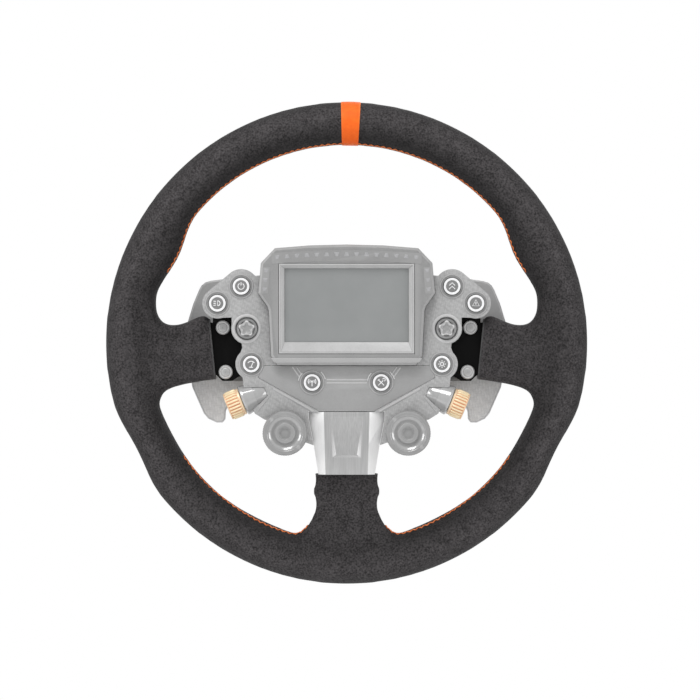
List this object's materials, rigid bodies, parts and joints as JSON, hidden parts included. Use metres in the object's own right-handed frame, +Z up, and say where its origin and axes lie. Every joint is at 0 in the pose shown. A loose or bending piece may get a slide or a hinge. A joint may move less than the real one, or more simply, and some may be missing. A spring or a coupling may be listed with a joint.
{
  "type": "racing wheel",
  "caption": "Round suede racing wheel with an orange centre stripe, a dash display hub, push buttons, rotary controls, paddles and a quick release.",
  "frame": {"origin": "centre of the flat rear face of the quick-release adapter", "axes": "+Y out of the adapter's rear face, away from the driver; +Z up; +X to the driver's right"},
  "size_m": [0.33, 0.1009, 0.33],
  "materials": {
    "suede": "napped charcoal suede",
    "orange_suede": "napped orange suede",
    "foam": "matte moulded foam",
    "black_plate": "black anodised, satin",
    "bolt_steel": "bright round-headed bolts",
    "grey_plastic": "fine matte grey",
    "gloss_bezel": "smooth, half gloss",
    "carbon": "twill carbon fibre under clear coat",
    "screen_glass": "smooth cover glass",
    "panel": "unlit display",
    "lens": "frosted lens",
    "board": "green solder mask",
    "silver": "satin anodised",
    "button": "white ring round a grey cap",
    "stick": "grained grey",
    "steel": "turned steel",
    "gold": "anodised pale orange, ribbed",
    "gloss_pod": "glossy grey",
    "dial_grey": "ribbed, anodised grey",
    "cast_body": "bead-blasted, anodised grey"
  },
  "bodies": {
    "hub": {"rim_plate": "black_plate", "foam_grip": "foam", "suede_cover": "suede", "centre_stripe": "orange_suede", "hub_chassis": "cast_body", "back_cover": "grey_plastic", "front_housing": "grey_plastic", "faceplate_left": "carbon", "faceplate_right": "carbon", "lower_fascia": "grey_plastic", "display_housing": "grey_plastic", "display_bezel": "gloss_bezel", "display_glass": "screen_glass", "display_panel": "panel", "rev_light_lens": "lens", "side_light_lens_left": "lens", "side_light_lens_right": "lens", "main_board": "board", "button_board_left": "board", "button_board_right": "board", "neck_cover": "silver", "usb_socket": "steel", "quick_release_adapter": "steel", "rim_bolt_left_upper": "bolt_steel", "rim_bolt_left_lower": "bolt_steel", "thumb_knob_housing_left": "gloss_pod", "dial_base_left": "dial_grey", "paddle_bracket_left": "cast_body", "paddle_pin_left": "steel", "rim_bolt_right_upper": "bolt_steel", "rim_bolt_right_lower": "bolt_steel", "thumb_knob_housing_right": "gloss_pod", "dial_base_right": "dial_grey", "paddle_bracket_right": "cast_body", "paddle_pin_right": "steel"},
    "quick_release_collar": {"quick_release_collar": "dial_grey"},
    "button_top_left": {"button_top_left": "button"},
    "button_outer_left": {"button_outer_left": "button"},
    "button_low_left": {"button_low_left": "button"},
    "button_centre_left": {"button_centre_left": "button"},
    "stick_gimbal_left": {"stick_gimbal_left": "steel"},
    "stick_cradle_left": {"stick_cradle_left": "steel"},
    "stick_shaft_left": {"stick_shaft_left": "steel"},
    "stick_knob_left": {"stick_knob_left": "stick"},
    "thumb_knob_left": {"thumb_knob_left": "gold"},
    "dial_left": {"dial_left": "dial_grey"},
    "shift_paddle_left": {"shift_paddle_left": "carbon"},
    "clutch_paddle_left": {"clutch_paddle_left": "carbon"},
    "button_top_right": {"button_top_right": "button"},
    "button_outer_right": {"button_outer_right": "button"},
    "button_low_right": {"button_low_right": "button"},
    "button_centre_right": {"button_centre_right": "button"},
    "stick_gimbal_right": {"stick_gimbal_right": "steel"},
    "stick_cradle_right": {"stick_cradle_right": "steel"},
    "stick_shaft_right": {"stick_shaft_right": "steel"},
    "stick_knob_right": {"stick_knob_right": "stick"},
    "thumb_knob_right": {"thumb_knob_right": "gold"},
    "dial_right": {"dial_right": "dial_grey"},
    "shift_paddle_right": {"shift_paddle_right": "carbon"},
    "clutch_paddle_right": {"clutch_paddle_right": "carbon"}
  },
  "joints": [
    {"name": "collar_slide", "type": "slide", "parent": "hub", "child": "quick_release_collar", "axis": [0, -1, 0], "range_m": [0, 0.008], "stiffness_N_per_m": 900},
    {"name": "press_top_left", "type": "slide", "parent": "hub", "child": "button_top_left", "axis": [0, 1, 0], "range_m": [0, 0.0012], "stiffness_N_per_m": 1500},
    {"name": "press_outer_left", "type": "slide", "parent": "hub", "child": "button_outer_left", "axis": [0, 1, 0], "range_m": [0, 0.0012], "stiffness_N_per_m": 1500},
    {"name": "press_low_left", "type": "slide", "parent": "hub", "child": "button_low_left", "axis": [0, 1, 0], "range_m": [0, 0.0012], "stiffness_N_per_m": 1500},
    {"name": "press_centre_left", "type": "slide", "parent": "hub", "child": "button_centre_left", "axis": [0, 1, 0], "range_m": [0, 0.0012], "stiffness_N_per_m": 1500},
    {"name": "stick_pan_left", "type": "hinge", "parent": "hub", "child": "stick_gimbal_left", "pos_m": [-0.0681, -0.0815, 0.0098], "axis": [0, 0, 1], "range_deg": [-7, 7], "stiffness_Nm_per_rad": 0.15},
    {"name": "stick_tilt_left", "type": "hinge", "parent": "stick_gimbal_left", "child": "stick_cradle_left", "pos_m": [-0.0681, -0.0815, 0.0098], "axis": [1, 0, 0], "range_deg": [-7, 7], "stiffness_Nm_per_rad": 0.15},
    {"name": "stick_push_left", "type": "slide", "parent": "stick_cradle_left", "child": "stick_shaft_left", "axis": [0, 1, 0], "range_m": [0, 0.0007], "stiffness_N_per_m": 1500},
    {"name": "stick_turn_left", "type": "hinge", "parent": "stick_shaft_left", "child": "stick_knob_left", "pos_m": [-0.0681, -0.0815, 0.0098], "axis": [0, 1, 0], "continuous": true},
    {"name": "thumb_turn_left", "type": "hinge", "parent": "hub", "child": "thumb_knob_left", "pos_m": [-0.0763, -0.0797, -0.0417], "axis": [-0.9272, 0, -0.3746], "continuous": true},
    {"name": "dial_turn_left", "type": "hinge", "parent": "hub", "child": "dial_left", "pos_m": [-0.0418, -0.09, -0.0613], "axis": [0, 1, 0], "continuous": true},
    {"name": "shift_pull_left", "type": "hinge", "parent": "hub", "child": "shift_paddle_left", "pos_m": [-0.057, -0.051, 0], "axis": [0, 0, 1], "range_deg": [0, 5], "stiffness_Nm_per_rad": 2},
    {"name": "clutch_pull_left", "type": "hinge", "parent": "hub", "child": "clutch_paddle_left", "pos_m": [-0.057, -0.051, 0], "axis": [0, 0, 1], "range_deg": [0, 10], "stiffness_Nm_per_rad": 2},
    {"name": "press_top_right", "type": "slide", "parent": "hub", "child": "button_top_right", "axis": [0, 1, 0], "range_m": [0, 0.0012], "stiffness_N_per_m": 1500},
    {"name": "press_outer_right", "type": "slide", "parent": "hub", "child": "button_outer_right", "axis": [0, 1, 0], "range_m": [0, 0.0012], "stiffness_N_per_m": 1500},
    {"name": "press_low_right", "type": "slide", "parent": "hub", "child": "button_low_right", "axis": [0, 1, 0], "range_m": [0, 0.0012], "stiffness_N_per_m": 1500},
    {"name": "press_centre_right", "type": "slide", "parent": "hub", "child": "button_centre_right", "axis": [0, 1, 0], "range_m": [0, 0.0012], "stiffness_N_per_m": 1500},
    {"name": "stick_pan_right", "type": "hinge", "parent": "hub", "child": "stick_gimbal_right", "pos_m": [0.0681, -0.0815, 0.0098], "axis": [0, 0, 1], "range_deg": [-7, 7], "stiffness_Nm_per_rad": 0.15},
    {"name": "stick_tilt_right", "type": "hinge", "parent": "stick_gimbal_right", "child": "stick_cradle_right", "pos_m": [0.0681, -0.0815, 0.0098], "axis": [1, 0, 0], "range_deg": [-7, 7], "stiffness_Nm_per_rad": 0.15},
    {"name": "stick_push_right", "type": "slide", "parent": "stick_cradle_right", "child": "stick_shaft_right", "axis": [0, 1, 0], "range_m": [0, 0.0007], "stiffness_N_per_m": 1500},
    {"name": "stick_turn_right", "type": "hinge", "parent": "stick_shaft_right", "child": "stick_knob_right", "pos_m": [0.0681, -0.0815, 0.0098], "axis": [0, 1, 0], "continuous": true},
    {"name": "thumb_turn_right", "type": "hinge", "parent": "hub", "child": "thumb_knob_right", "pos_m": [0.0763, -0.0797, -0.0417], "axis": [0.9272, 0, -0.3746], "continuous": true},
    {"name": "dial_turn_right", "type": "hinge", "parent": "hub", "child": "dial_right", "pos_m": [0.0418, -0.09, -0.0613], "axis": [0, 1, 0], "continuous": true},
    {"name": "shift_pull_right", "type": "hinge", "parent": "hub", "child": "shift_paddle_right", "pos_m": [0.057, -0.051, 0], "axis": [0, 0, -1], "range_deg": [0, 5], "stiffness_Nm_per_rad": 2},
    {"name": "clutch_pull_right", "type": "hinge", "parent": "hub", "child": "clutch_paddle_right", "pos_m": [0.057, -0.051, 0], "axis": [0, 0, -1], "range_deg": [0, 10], "stiffness_Nm_per_rad": 2}
  ]
}
